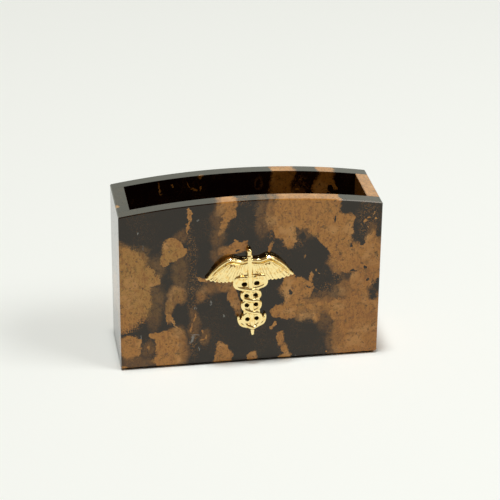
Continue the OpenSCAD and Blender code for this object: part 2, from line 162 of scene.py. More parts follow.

# Marbling of each slab, in mm across it and up: middle, half width, half height and turn in degrees.
# Two more numbers are a mark's place and half size through the slab, if it doesn't run right through.
# Tan clouds are the crispest, veils are smoky, hazes are thin and grit is tan grains in the dark.
# Dark spots cut all but the grit, and chips are pale flecks. Cool marks say where the tan is greener,
# and shade names a tint and where it darkens the tan; inside the well that tint is painted shade.
# Wild clouds come from a noise: the level that they start at, and the height that they stay under
frontMarks = {
    "tan": [
        (-60, 42, 14.3, 22, 0), (-44.3, 45.5, 2.8, 3.2, 0), (-47, 49.5, 2.2, 2.2, 0),
        (-56.3, 12, 5, 6.2, 0), (-53.4, 13, 2.2, 2.6, 0), (-47.7, 11.4, 0.6, 0.9, 0),
        (-52.6, 7.5, 0.5, 1, 0), (-58.5, 2, 1.6, 1, 0), (-39.2, 12, 5.8, 7.2, 0),
        (-44.8, 17.2, 2.9, 2, 0), (-41, 17.4, 3.6, 1.8, 0), (-39.4, 4, 7, 3.6, 0),
        (-38.1, 26.4, 0.4, 3.2, -4), (-36.2, 24.6, 0.4, 3.4, -25), (-34, 21, 1.2, 0.4, 30),
        (-36.3, 60.6, 4.2, 5.6, 0), (-39.6, 54.8, 2, 3, 0), (-36.4, 56.6, 4.6, 2.2, -35),
        (-32.6, 59, 2.8, 2, 0), (-28.4, 76.8, 1.2, 3.2, 0), (-28.8, 71.3, 0.5, 3.2, 0),
        (-10.3, 81, 4.2, 3.6, 0), (-9.8, 76.6, 2.8, 4, 20), (-12.7, 72, 1.2, 3, 22),
        (-6.3, 59.3, 3.9, 2.9, 0), (-10.6, 57.6, 3, 1.7, 0), (-7.3, 62.4, 0.7, 1.1, 0),
        (-3.6, 61.9, 1, 0.8, 0), (-22, 44.4, 3, 1.1, 10), (-7.6, 32.5, 2.3, 8, -12),
        (-26.4, 25, 0.5, 2.2, 20), (-27.5, 20, 0.5, 2.7, 0), (-22.3, 17.6, 0.5, 1.4, -15),
        (-20.2, 14.5, 0.5, 1.3, 0), (-22, 12.8, 0.6, 1.2, 30), (-13, 2, 4.3, 6, 0),
        (-13.2, 7.6, 2.8, 4.2, 0), (1, 2, 2.7, 3, 0), (16, 76, 6.6, 9, 0), (24, 79, 9, 11, 0),
        (24.6, 69.6, 5, 3.4, 0), (33.5, 77, 7.5, 9, 0), (12.6, 67, 3.6, 4.6, 0), (17.6, 64, 3.4, 6.4, 0),
        (30.5, 68, 4.6, 5.6, -15), (34.2, 62, 3.4, 5.6, -20), (38, 68, 6, 7, 0), (44, 67.5, 5, 5.5, 0),
        (41, 58, 6, 9, -15), (45.5, 51, 8.3, 7.6, 0), (55, 51, 8, 9.5, 0), (55.6, 61, 2.2, 2.6, 0),
        (21.6, 36.6, 7.6, 5.4, 0), (17.6, 41.6, 3, 3.8, 0), (27.7, 42.6, 0.9, 2.4, 10), (18, 31, 3, 5, 0),
        (12.8, 25.8, 3.3, 3.8, 0), (17, 25, 4.6, 4.2, 0), (21.5, 28.2, 4.2, 3.6, 0),
        (27.5, 26.8, 3.6, 1.6, 15), (33.5, 28.4, 3, 1.1, -10), (30.4, 21, 0.9, 2.6, -10),
        (24, 22.8, 1.6, 0.7, 30), (41.5, 25, 5.5, 6.5, 0), (55, 14, 14, 17, 0), (52, 4, 11.6, 7, 0),
        (53, 29, 9, 6, 0), (51.5, 39, 5.6, 6, 0), (56, 42, 6, 5, 0), (14.2, 11.6, 1.9, 3.5, 0),
        (16.4, 5.6, 1.4, 4.2, -12), (16.5, 1.8, 2.8, 1.4, 0), (10.4, 17.8, 1, 0.8, 0),
        (11.7, 19.3, 0.7, 1.3, 20), (9.2, 58.8, 0.8, 2.5, 10), (24.4, 53, 0.5, 0.8, 0),
        (35.5, 2.8, 0.5, 0.7, 0), (52.5, 69.2, 1.1, 0.8, 0), (54, 71, 0.8, 0.6, 0),
        (56.4, 72.4, 0.5, 0.8, 20), (50.6, 70.2, 0.5, 0.4, 0), (57.8, 69.8, 0.6, 0.4, 0),
        (53.4, 66.6, 0.4, 0.6, 0), (30.6, 45.6, 0.35, 0.35, 0), (31.8, 43.4, 0.3, 0.3, 0),
        (38.6, 43.2, 0.4, 0.6, 0),
    ],
    "veil": [
        (-33.6, 10.5, 4.4, 9.5, 0), (-34.5, 18.4, 3.6, 2.4, 0), (-34.8, 37, 4.2, 4.8, 0),
        (-37.3, 32, 2.1, 3.8, 0), (-37.6, 27.4, 1, 4, -10), (-14, 80, 2.4, 4.4, 10),
        (-13.4, 68, 1.3, 3, 20), (-12, 58, 3.6, 2.6, 0), (-19, 40.4, 9.4, 4.6, -6, -14.5, 5),
        (-12.5, 41.4, 5, 4.2, 0), (-23.6, 36.4, 3, 4.4, 10, -15.5, 5), (-49.5, 57, 3.2, 3.4, 0),
        (28.5, 27.6, 6.4, 4.4, 0), (36, 27, 6.5, 4.6, 0), (26, 22.8, 6.4, 3.2, 0),
        (30.8, 21.4, 2.6, 3.4, -10), (41, 10, 2.7, 12, 0), (45, 35.4, 4.6, 4.4, 0), (8.6, 75, 2.4, 8, 0),
        (57, 58, 4, 7, 0), (39, 46.6, 2.6, 5, -25),
    ],
    "haze": [
        (-45, 34, 4.5, 13, 0), (-43, 52, 4, 6, 0), (-32.6, 49, 3.6, 9, 0), (-33, 66, 2.8, 5, 40),
        (-50, 60, 4, 2.6, 0), (-26.5, 22, 2.6, 8, 0), (-52, 3, 9, 2.4, 0), (-48, 10, 3, 4, 0),
        (5, 73.5, 3.2, 9.5, 0), (-14, 76, 4.4, 7.5, 15), (-15, 65, 3.6, 5, 12),
        (-14.5, 56.6, 4.6, 4.6, 0), (33, 30.6, 9, 3.4, 0), (43.5, 36.5, 6, 6, 0), (36.5, 18.5, 5, 4.6, 0),
        (25.6, 65, 5, 3.4, -30), (56.5, 63.5, 3.5, 4, 0), (38.5, 10, 3, 12, 0), (-21, 14.5, 2.6, 4.4, 0),
        (-55, 5, 5, 3.4, 0),
    ],
    "grit": [
        (-27.6, 60, 2.2, 11, 0), (-27.2, 38, 2.4, 16, 0), (-27, 14, 2.6, 9, 0),
        (-32.6, 65.4, 1.8, 4.6, 40), (-22, 38, 4.6, 4.6, 0), (-55, 6, 4.6, 4.4, 0), (-48, 11, 3, 5, 0),
        (-3, 81.4, 3.4, 1.6, 0), (5, 75, 3.8, 8.6, 0), (9, 66, 2, 3, 0), (19, 60, 5, 2.4, 0),
        (54.6, 69, 5.2, 8.6, 0), (31, 24, 8, 5.4, 0), (37, 34, 8, 4, 0), (40.6, 42, 3, 4, -25),
        (39, 11, 1.8, 10, 0),
    ],
    "dark": [
        (-32.6, 27.9, 3.6, 3.9, 0), (58.3, 33.4, 5.4, 7.4, 0, -14.6, 5), (51, 78, 10, 3.4, 0),
        (49.8, 65.2, 2.7, 6.2, -8), (51.8, 59, 1.2, 2.6, 0), (59.6, 66, 1.4, 6, 0), (18.6, 35.4, 1, 1, 0),
        (36, 40, 6.5, 3, 0), (27, 37.9, 1.6, 0.25, 10), (-57.2, 18.8, 3, 0.7, -10),
        (11.8, 62, 0.9, 1.3, 0), (46.3, 57, 0.5, 0.9, -20), (23.6, 62.6, 3.4, 5, -20, -14.2, 5),
        (53.4, 45.6, 1.2, 0.9, 20), (54.5, 39, 0.6, 0.8, 0), (47, 44.2, 1.2, 0.6, 0),
        (38.4, 71, 0.5, 1.6, 10), (8.6, 64.6, 1.4, 3, 0), (-6.6, 58.1, 0.9, 0.6, 0),
        (-49.7, 41.5, 0.5, 0.8, 0), (31, 79.4, 1.5, 0.2, 0),
    ],
    "chips": [
        (-18.1, 33.6, 0.5, 0.7, 0), (-18.4, 31.9, 0.6, 0.5, 0), (-25.1, 30.3, 0.35, 0.6, 0),
        (-11.8, 24.7, 0.4, 0.7, 0), (-27, 13.4, 0.55, 1.9, 25), (-26, 15.7, 1.6, 0.18, 0),
        (-52.2, 69.4, 0.3, 0.8, 0), (-48.6, 62.2, 0.15, 0.9, -20), (-51.5, 16.4, 0.18, 1, 30),
        (-24.4, 74.2, 0.25, 0.45, 0), (21.7, 1.3, 0.5, 0.3, 0), (-24, 8.5, 0.12, 1, 0),
    ],
    "cool": [(-46, 48, 17, 22, 0)],
    "shade": [("lowShade", [(57, 18, 16, 36, 0)])],
    "wild": None,
}
backMarks = {
    "tan": [
        (19.6, 80, 5.6, 8, 0), (19.4, 70, 5.4, 9, 0), (40.2, 79.4, 4.4, 4.4, 0), (39, 74, 5.4, 5, 0),
        (44.6, 72, 0.5, 1.3, 0), (-33, 77.3, 0.6, 0.5, 0, 13, 2), (-38, 76.6, 0.3, 2.7, -15, 13, 2),
        (-24.4, 77.8, 0.35, 1.9, -25, 13, 2), (-21.4, 75.4, 1.9, 0.35, 10, 13, 2),
        (-18.3, 75.9, 0.35, 1, 10, 13, 2), (-18.8, 81.2, 0.5, 0.9, 0, 13, 2),
        (27, 73, 0.6, 0.6, 0, 13, 2), (28.2, 74.8, 0.5, 0.5, 0, 13, 2),
    ],
    "veil": [],
    "haze": [(27, 72, 3, 3, 0), (8.5, 76.5, 1.7, 3, 0, 13, 2)],
    "grit": [(28, 74, 3.4, 5, 0)],
    "dark": [(30.2, 78, 2.6, 5, 0), (8.5, 76.5, 1.2, 2.45, 0, 13, 2), (42.4, 71.4, 1.2, 1.5, 0)],
    "chips": [
        (-8, 62, 0.4, 0.8, 20), (20, 56, 0.5, 0.5, 0), (-50, 54, 0.3, 1.2, -10), (40, 32, 0.5, 0.4, 0),
    ],
    "cool": [],
    # painted shade on the inner face of the back slab, inside the well
    "shade": [("wellPaintedShade", [(20, 70, 60, 40, 0, 13, 0.6)])],
    "wild": (0.52, 60),
}
leftMarks = {
    "tan": [(-7, 77.6, 1.3, 1.7, 0, 59.6, 1.3)],
    "veil": [],
    "haze": [(-2, 44, 8, 9, 0)],
    "grit": [],
    "dark": [],
    "chips": [(-2, 69, 0.3, 0.8, 10), (3, 50, 0.4, 0.4, 0)],
    "cool": [(0, 40, 30, 60, 0)],
    "shade": [],
    "wild": (0.54, 62),
}
rightMarks = {
    "tan": [(0, 80, 24, 14, 0)],
    "veil": [(0, 62, 16, 12, 0)],
    "haze": [(0, 40, 19, 40, 0)],
    "grit": [(0, 30, 12, 14, 0)],
    "dark": [],
    "chips": [(4, 34, 0.4, 0.8, 0)],
    "cool": [],
    "shade": [],
    "wild": (0.46, 76),
}
floorMarks = {
    "tan": [], "veil": [], "haze": [], "grit": [], "dark": [], "chips": [], "cool": [], "shade": [],
    "wild": (0.54, 40),
}


def cloudField(tree, place, clouds):
    # 1 in the middle of a cloud, a half at its outline, 0 at twice its size
    field = 0.0
    for across, up, halfWide, halfHigh, turn, *through in clouds:
        deep, halfDeep = through or (0, stoneLook["throughMm"])
        spread = addNode(tree, "Mapping", {"vector_type": "TEXTURE"}, {
            "Vector": place,
            "Location": (across, deep, up),
            "Rotation": (0, math.radians(turn), 0),
            "Scale": (2 * halfWide, 2 * halfDeep, 2 * halfHigh),
        })
        glow = addNode(tree, "TexGradient", {"gradient_type": "SPHERICAL"}, {"Vector": spread.outputs[0]})
        field = addNode(tree, "Math", {"operation": "SMOOTH_MAX"}, {
            0: field, 1: glow.outputs["Fac"], 2: stoneLook["flow"]}).outputs[0]
    return field


def wildField(tree, place, bent, level, under):
    # the same scale as cloudField, from a noise that fades out above a height
    span, fadeMm = stoneLook["wildSpan"], stoneLook["wildFadeMm"]
    noise = addNode(tree, "TexNoise", {}, {
        "Vector": bent, "Scale": 1 / stoneLook["wildMm"], "Detail": 4, "Roughness": 0.55, "Distortion": 0.7})
    rise = addNode(tree, "MapRange", {}, {
        "Value": noise.outputs["Fac"], "From Min": level - span, "From Max": level + span})
    axes = addNode(tree, "SeparateXYZ", {}, {0: place})
    fade = addNode(tree, "MapRange", smooth, {
        "Value": axes.outputs[2], "From Min": under + fadeMm, "From Max": under - fadeMm})
    return addNode(tree, "Math", times, {0: rise.outputs[0], 1: fade.outputs[0]}).outputs[0]


def wander(tree, place):
    # the place bent by three noises, so that round clouds get uneven edges
    bent = place
    for size, reach in stoneLook["bends"]:
        noise = addNode(tree, "TexNoise", {}, {"Vector": place, "Scale": 1 / size, "Detail": 2})
        swing = addNode(tree, "VectorMath", minus, {0: noise.outputs["Color"], 1: (0.5, 0.5, 0.5)})
        shift = addNode(tree, "VectorMath", scaleBy, {0: swing.outputs[0], "Scale": reach})
        bent = addNode(tree, "VectorMath", plus, {0: bent, 1: shift.outputs[0]}).outputs[0]
    return bent


def cloudCover(tree, place, bent, mottle, marks):
    # how much of the ground the tan covers, from 0 to 1
    look = stoneLook
    tan, veil, haze, dark, grit = (
        cloudField(tree, bent, marks[kind]) for kind in ("tan", "veil", "haze", "dark", "grit"))
    if marks["wild"]:
        wild = wildField(tree, place, bent, *marks["wild"])
        halo = addNode(tree, "Math", plus, {0: wild, 1: look["wildHalo"]})
        tan = addNode(tree, "Math", larger, {0: tan, 1: wild}).outputs[0]
        haze = addNode(tree, "Math", larger, {0: haze, 1: halo.outputs[0]}).outputs[0]

    # grains along a cloud's edge, more of them in some places
    dust = addNode(tree, "TexNoise", {}, {
        "Vector": place, "Scale": 1 / look["dustMm"], "Detail": 4, "Roughness": 0.7})
    drift = addNode(tree, "TexNoise", {}, {"Vector": place, "Scale": 1 / look["driftMm"], "Detail": 2})
    fewest, most = look["fray"]
    fray = addNode(tree, "MapRange", smooth, {
        "Value": drift.outputs["Fac"], **levels(look, "fray"), "To Min": fewest, "To Max": most})
    grain = addNode(tree, "Math", minus, {0: dust.outputs["Fac"], 1: 0.5})
    tan = addNode(tree, "Math", timesPlus, {0: grain.outputs[0], 1: fray.outputs[0], 2: tan}).outputs[0]

    # a slow noise makes the edge crisp in places and smoky in others
    smoke = addNode(tree, "TexNoise", {}, {"Vector": place, "Scale": 1 / look["smokeMm"], "Detail": 1})
    crisp, smoky = look["edgeHalf"]
    half = addNode(tree, "MapRange", {}, {
        "Value": smoke.outputs["Fac"], **levels(look, "smoke"), "To Min": crisp, "To Max": smoky})
    low = addNode(tree, "Math", minus, {0: look["edge"], 1: half.outputs[0]})
    high = addNode(tree, "Math", plus, {0: look["edge"], 1: half.outputs[0]})
    cover = addNode(tree, "MapRange", smooth, {
        "Value": tan, "From Min": low.outputs[0], "From Max": high.outputs[0]}).outputs[0]

    # veils and hazes are mottled and fade at their edges, and dark spots cut through all of them
    for field, (full, thinnest) in ((veil, look["veil"]), (haze, look["haze"])):
        patchy = addNode(tree, "MapRange", smooth, {
            "Value": mottle.outputs["Fac"], **levels(look, "patch"), "To Min": thinnest, "To Max": 1})
        faded = addNode(tree, "MapRange", smooth, {"Value": field, **levels(look, "fade"), "To Max": full})
        share = addNode(tree, "Math", times, {0: faded.outputs[0], 1: patchy.outputs[0]})
        cover = addNode(tree, "Math", larger, {0: cover, 1: share.outputs[0]}).outputs[0]
    kept = addNode(tree, "MapRange", smooth, {
        "Value": dark, **levels(look, "dark"), "To Min": 1, "To Max": 0})
    cover = addNode(tree, "Math", times, {0: cover, 1: kept.outputs[0]}).outputs[0]

    # a little tan dust over the dark ground, and more grains where it is gritty
    dusty = addNode(tree, "MapRange", smooth, {
        "Value": drift.outputs["Fac"], **levels(look, "dusty"), "To Max": look["dustCover"]})
    gritty = addNode(tree, "MapRange", smooth, {
        "Value": grit, **levels(look, "gritty"), "To Max": look["gritCover"]})
    fullest = addNode(tree, "Math", larger, {0: dusty.outputs[0], 1: gritty.outputs[0]})
    grains = addNode(tree, "MapRange", smooth, {
        "Value": dust.outputs["Fac"], **levels(look, "grain"), "To Max": fullest.outputs[0]})
    return addNode(tree, "Math", larger, {0: cover, 1: grains.outputs[0]}).outputs[0]


def cloudColour(tree, place, bent, mottle, marks):
    # tan with short upright streaks, slow changes of tone, olive patches and dark flecks
    look = stoneLook
    stretched = addNode(tree, "Mapping", {"vector_type": "POINT"}, {
        "Vector": bent, "Scale": [1 / size for size in look["grainMm"]]})
    streak = addNode(tree, "TexNoise", {}, {
        "Vector": stretched.outputs[0], "Scale": 1, "Detail": 5, "Roughness": 0.65})
    tone = addNode(tree, "TexNoise", {}, {"Vector": place, "Scale": 1 / look["toneMm"], "Detail": 4})
    fleck = addNode(tree, "TexNoise", {}, {
        "Vector": bent, "Scale": 1 / look["fleckMm"], "Detail": 4, "Roughness": 0.6})
    cool = addNode(tree, "MapRange", smooth, {
        "Value": cloudField(tree, bent, marks["cool"]), **levels(look, "soft")})
    colour = addNode(tree, "Mix", colourMix, {
        0: cool.outputs[0], 6: linear(look["tan"]), 7: linear(look["tanCool"])}).outputs[2]
    layers = (
        (streak, "streak", "tanDeep"), (tone, "tone", "tanPale"),
        (mottle, "olive", "olive"), (fleck, "fleck", "pit"),
    )
    for noise, layer, paint in layers:
        share = addNode(tree, "MapRange", smooth, {
            "Value": noise.outputs["Fac"], **levels(look, layer), "To Max": look["shares"][layer]})
        colour = addNode(tree, "Mix", colourMix, {
            0: share.outputs[0], 6: colour, 7: linear(look[paint])}).outputs[2]
    for tint, clouds in marks["shade"]:
        share = addNode(tree, "MapRange", smooth, {
            "Value": cloudField(tree, place, clouds), **levels(look, "soft")})
        colour = addNode(tree, "Mix", {**colourMix, "blend_type": "MULTIPLY"}, {
            0: share.outputs[0], 6: colour, 7: linear(look[tint])}).outputs[2]
    return colour


def polishedLimestone(name, marks, turned=False):
    look = stoneLook
    material, tree, shader, place = newMaterial(name)
    if turned:
        # an end slab carries its marbling across its own width
        place = addNode(tree, "Mapping", {"vector_type": "POINT"}, {
            "Vector": place, "Rotation": (0, 0, math.radians(-90))}).outputs[0]
    bent = wander(tree, place)
    mottle = addNode(tree, "TexNoise", {}, {
        "Vector": place, "Scale": 1 / look["mottleMm"], "Detail": 7, "Roughness": 0.75})
    body = addNode(tree, "Mix", colourMix, {
        0: cloudCover(tree, place, bent, mottle, marks),
        6: linear(look["ground"]),
        7: cloudColour(tree, place, bent, mottle, marks),
    })

    # pits of uneven size, and pale chips
    cells = addNode(tree, "TexVoronoi", {}, {"Vector": bent, "Scale": 1 / look["pitMm"]})
    pick = addNode(tree, "SeparateColor", {}, {"Color": cells.outputs["Color"]})
    pitSize = addNode(tree, "MapRange", {}, {
        "Value": pick.outputs[0], **levels(look, "pitted"), "To Max": look["pitLargest"]})
    depth = addNode(tree, "Math", minus, {0: pitSize.outputs[0], 1: cells.outputs["Distance"]})
    pit = addNode(tree, "MapRange", smooth, {"Value": depth.outputs[0], **levels(look, "pit")}).outputs[0]
    pitShare = addNode(tree, "Math", times, {0: pit, 1: look["shares"]["pit"]})
    pitted = addNode(tree, "Mix", colourMix, {
        0: pitShare.outputs[0], 6: body.outputs[2], 7: linear(look["pit"])})
    chipShare = addNode(tree, "MapRange", smooth, {
        "Value": cloudField(tree, bent, marks["chips"]), **levels(look, "soft"),
        "To Max": look["shares"]["chip"]})
    surface = addNode(tree, "Mix", colourMix, {
        0: chipShare.outputs[0], 6: pitted.outputs[2], 7: linear(look["chip"])})

    # the buffed face is wet-looking, and dull only in the pits
    gloss = addNode(tree, "MapRange", {}, {
        "Value": pit, "To Min": look["roughness"], "To Max": look["pitRoughness"]})
    dent = addNode(tree, "Bump", {"invert": True}, {
        "Strength": look["pitBump"], "Distance": look["pitDeepMm"] * mm, "Height": pit})
    tree.links.new(surface.outputs[2], shader.inputs["Base Color"])
    tree.links.new(gloss.outputs[0], shader.inputs["Roughness"])
    tree.links.new(dent.outputs[0], shader.inputs["Normal"])
    shader.inputs["IOR"].default_value = look["ior"]
    shader.inputs["Specular Tint"].default_value = linear(look["waxTint"])
    return material


# Slabs: sizes from the frame, with the arch and the eased edges as cut on the real ones
slabCut = {
    "archRise": 4.85 * mm,
    "archSteps": 48,
    "endSteps": 4,
    "outerArris": 0.4 * mm,
    "innerArris": 0.3 * mm,
    "arrisSegments": 1,
    "cornerAngle": 0.5,          # radians, faces that turn more than this meet at an arris
    "sharpAngle": math.radians(30),
    "upright": 0.9,              # a face whose normal is nearer the vertical is the rim or the base
    "slack": 0.01 * mm,
}
frontLow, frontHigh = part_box("front_panel")
halfWidth = frontHigh.x
halfDepth = -frontLow.y
innerX = -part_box("left_end_panel")[1].x
innerY = -frontHigh.y
stoneBase = frontLow.z
apex = frontHigh.z
archRadius = (halfWidth ** 2 + slabCut["archRise"] ** 2) / (2 * slabCut["archRise"])


def rimHeight(x):
    return apex - archRadius + math.sqrt(archRadius ** 2 - x ** 2)


def liesAt(face, halfX, halfY):
    at = face.calc_center_median()
    return abs(abs(at.x) - halfX) < slabCut["slack"] or abs(abs(at.y) - halfY) < slabCut["slack"]


def isRim(face):
    return face.normal.z > slabCut["upright"]


def isOutside(face):
    return abs(face.normal.z) > slabCut["upright"] or liesAt(face, halfWidth, halfDepth)


def isWellWall(face):
    return not isOutside(face) and liesAt(face, innerX, innerY)


def openEdges(bm):
    # the outer edges of the cup, and the edges round the mouth of the well
    outer, inner = [], []
    for edge in bm.edges:
        a, b = edge.link_faces
        if isOutside(a) and isOutside(b) and edge.calc_face_angle() > slabCut["cornerAngle"]:
            outer.append(edge)
        elif (isRim(a) and isWellWall(b)) or (isRim(b) and isWellWall(a)):
            if all(abs(v.co.x) < innerX + slabCut["slack"] for v in edge.verts):
                inner.append(edge)
    return outer, inner


def sawnSlab(name, node, material, stations):
    # an outline in x and z, run through the slab's depth, with its open edges eased
    low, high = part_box(node)
    foot = [(stations[-1], stoneBase), (stations[0], stoneBase)]
    outline = foot + [(x, rimHeight(x)) for x in stations]
    bm = bmesh.new()
    near = [bm.verts.new((x, low.y, z)) for x, z in outline]
    far = [bm.verts.new((x, high.y, z)) for x, z in outline]
    bm.faces.new(near)
    bm.faces.new(reversed(far))
    for i in range(len(outline)):
        j = (i + 1) % len(outline)
        bm.faces.new((near[j], near[i], far[i], far[j]))
    bmesh.ops.recalc_face_normals(bm, faces=bm.faces)

    outer, inner = openEdges(bm)
    for edges, size in ((outer, slabCut["outerArris"]), (inner, slabCut["innerArris"])):
        live = [edge for edge in edges if edge.is_valid]
        if live:
            bmesh.ops.bevel(bm, geom=live, offset=size, segments=slabCut["arrisSegments"], profile=0.5,
                            affect="EDGES", clamp_overlap=True)
    for face in bm.faces:
        face.smooth = True
    for edge in bm.edges:
        edge.smooth = edge.calc_face_angle() < slabCut["sharpAngle"]
    mesh = bpy.data.meshes.new(name)
    bm.to_mesh(mesh)
    bm.free()
    piece = addPiece(name, mesh, material, node)
    flatten = piece.modifiers.new("flat faces", "WEIGHTED_NORMAL")
    flatten.weight = 100
    flatten.keep_sharp = True


def between(a, b, steps):
    return [a + (b - a) * i / steps for i in range(steps + 1)]


leftStations = between(-halfWidth, -innerX, slabCut["endSteps"])
rightStations = between(innerX, halfWidth, slabCut["endSteps"])
longStations = leftStations[:-1] + between(-innerX, innerX, slabCut["archSteps"]) + rightStations[1:]

frontStone = polishedLimestone("polished limestone, front", frontMarks)
backStone = polishedLimestone("polished limestone, back", backMarks)
leftStone = polishedLimestone("polished limestone, left end", leftMarks, turned=True)
rightStone = polishedLimestone("polished limestone, right end", rightMarks, turned=True)
floorStone = polishedLimestone("polished limestone, floor", floorMarks)
sawnSlab("front_slab", "front_panel", frontStone, longStations)
sawnSlab("back_slab", "back_panel", backStone, longStations)
sawnSlab("left_end_slab", "left_end_panel", leftStone, leftStations)
sawnSlab("right_end_slab", "right_end_panel", rightStone, rightStations)
coat(cupNodes["floor_panel"].data, floorStone)
print("stone slabs cut and polished")

# Epoxy, tinted to the stone and wiped flush: a thin dull line in the joints
epoxyLook = {
    "tint": "#2a2119",
    "cloudy": "#4a3d2c",
    "cloudMm": 2.0,
    "roughness": 0.35,
    "ior": 1.55,
}


def curedEpoxy():
    look = epoxyLook
    material, tree, shader, place = newMaterial("tinted epoxy, cured")
    cloudy = addNode(tree, "TexNoise", {}, {"Vector": place, "Scale": 1 / look["cloudMm"], "Detail": 3})
    tint = addNode(tree, "Mix", colourMix, {
        0: cloudy.outputs["Fac"], 6: linear(look["tint"]), 7: linear(look["cloudy"])})
    tree.links.new(tint.outputs[2], shader.inputs["Base Color"])
    shader.inputs["Roughness"].default_value = look["roughness"]
    shader.inputs["IOR"].default_value = look["ior"]
    return material


epoxy = curedEpoxy()
for nodeName in ("corner_bonds", "floor_bond", "emblem_bond"):
    coat(cupNodes[nodeName].data, epoxy)
print("joints filled")

# Gold plate on a die cast base, polished: pale yellow mirror, browner in the hollows that the buff can't
# reach and with painted shade there, with fine feather lines fanned over the wings and painted shade in
# their cuts
goldLook = {
    "gold": "#ffe9aa",
    "warm": "#f3bf5e",
    # painted shade in the hollows, together with the browner plate that the buff can't reach
    "hollowShade": "#7d4f1a",
    # painted shade in the cut feather lines
    "line": "#9a6622",
    "roughness": (0.098, 0.196),  # least and most, over the ripple
    "rippleMm": 0.8,
    "rippleDeepMm": 0.035,
    "rippleBump": 0.5,
    "warmMm": 1.7,               # patches where the plate is a deeper yellow
    "fanFrom": (-1.2, 66),       # mm, the point that the feather lines run from
    "fanStep": 3.6,              # degrees between lines, wider than the real ones so that they show
    "breakMm": 2.5,              # the noise that bends the lines and breaks them off
    "waver": 9,                  # radians of a line's wave that it bends them by
    "lineDeepMm": 0.06,
    "lineBump": 0.7,
    "shares": {"warm": 0.55, "line": 0.5, "hollowShade": 0.5},
    "levels": {
        "warm": (0.5, 0.66), "line": (0.55, 1), "present": (0.4, 0.6),
        "hem": (43, 44.5), "coverts": (54.5, 52),     # mm up, the two ends of the lines
        "aside": (math.radians(6), math.radians(9)),  # from the staff to where the lines begin
    },
    "weldMm": 0.0001,
    "voxelMm": 0.155,
    "rubFactor": 0.5,
    "rubPasses": 3,
    "hollowPasses": 3,
    "hollowAt": (0.003, 0.016),  # mm that a point lies under its neighbours, at first and in full
}


def featherLines(tree, place):
    # even steps of angle about one point above the wings
    look = goldLook
    fromX, fromZ = look["fanFrom"]
    axes = addNode(tree, "SeparateXYZ", {}, {0: place})
    across = addNode(tree, "Math", minus, {0: axes.outputs[0], 1: fromX})
    down = addNode(tree, "Math", minus, {0: fromZ, 1: axes.outputs[2]})
    angle = addNode(tree, "Math", {"operation": "ARCTAN2"}, {0: across.outputs[0], 1: down.outputs[0]})
    aside = addNode(tree, "Math", {"operation": "ABSOLUTE"}, {0: angle.outputs[0]})
    breaks = addNode(tree, "TexNoise", {}, {"Vector": place, "Scale": 1 / look["breakMm"], "Detail": 3})
    waver = addNode(tree, "Math", times, {0: breaks.outputs["Fac"], 1: look["waver"]})
    phase = addNode(tree, "Math", timesPlus, {
        0: angle.outputs[0], 1: 360 / look["fanStep"], 2: waver.outputs[0]})
    wave = addNode(tree, "Math", {"operation": "SINE"}, {0: phase.outputs[0]})
    line = addNode(tree, "MapRange", smooth, {"Value": wave.outputs[0], **levels(look, "line")}).outputs[0]
    limits = (
        (breaks.outputs["Fac"], "present"), (axes.outputs[2], "hem"),
        (axes.outputs[2], "coverts"), (aside.outputs[0], "aside"),
    )
    for value, limit in limits:
        within = addNode(tree, "MapRange", smooth, {"Value": value, **levels(look, limit)})
        line = addNode(tree, "Math", times, {0: line, 1: within.outputs[0]}).outputs[0]
    return line


def platedGold():
    look = goldLook
    material, tree, shader, place = newMaterial("gold plate on die casting, polished")
    patches = addNode(tree, "TexNoise", {}, {
        "Vector": place, "Scale": 1 / look["warmMm"], "Detail": 4, "Roughness": 0.65})
    warm = addNode(tree, "MapRange", smooth, {
        "Value": patches.outputs["Fac"], **levels(look, "warm"), "To Max": look["shares"]["warm"]})
    line = featherLines(tree, place)
    # painted shade in the cut lines, as a darker colour
    lineShade = addNode(tree, "Math", times, {0: line, 1: look["shares"]["line"]})
    # painted shade: browner where the casting lies in a hollow
    hollowShade = addNode(tree, "Attribute", {"attribute_name": "hollowShade"})
    hollowShadeShare = addNode(tree, "Math", times, {0: hollowShade.outputs["Fac"], 1: look["shares"]["hollowShade"]})
    colour = linear(look["gold"])
    for share, paint in ((warm, "warm"), (lineShade, "line"), (hollowShadeShare, "hollowShade")):
        colour = addNode(tree, "Mix", colourMix, {
            0: share.outputs[0], 6: colour, 7: linear(look[paint])}).outputs[2]

    # the lines are cut in, and the buffed plate ripples a little
    ripple = addNode(tree, "TexNoise", {}, {"Vector": place, "Scale": 1 / look["rippleMm"], "Detail": 3})
    cut = addNode(tree, "Bump", {"invert": True}, {
        "Strength": look["lineBump"], "Distance": look["lineDeepMm"] * mm, "Height": line})
    bump = addNode(tree, "Bump", {}, {
        "Strength": look["rippleBump"], "Distance": look["rippleDeepMm"] * mm,
        "Height": ripple.outputs["Fac"], "Normal": cut.outputs[0]})
    least, most = look["roughness"]
    gloss = addNode(tree, "MapRange", {}, {"Value": ripple.outputs["Fac"], "To Min": least, "To Max": most})
    tree.links.new(colour, shader.inputs["Base Color"])
    tree.links.new(gloss.outputs[0], shader.inputs["Roughness"])
    tree.links.new(bump.outputs[0], shader.inputs["Normal"])
    shader.inputs["Metallic"].default_value = 1
    return material


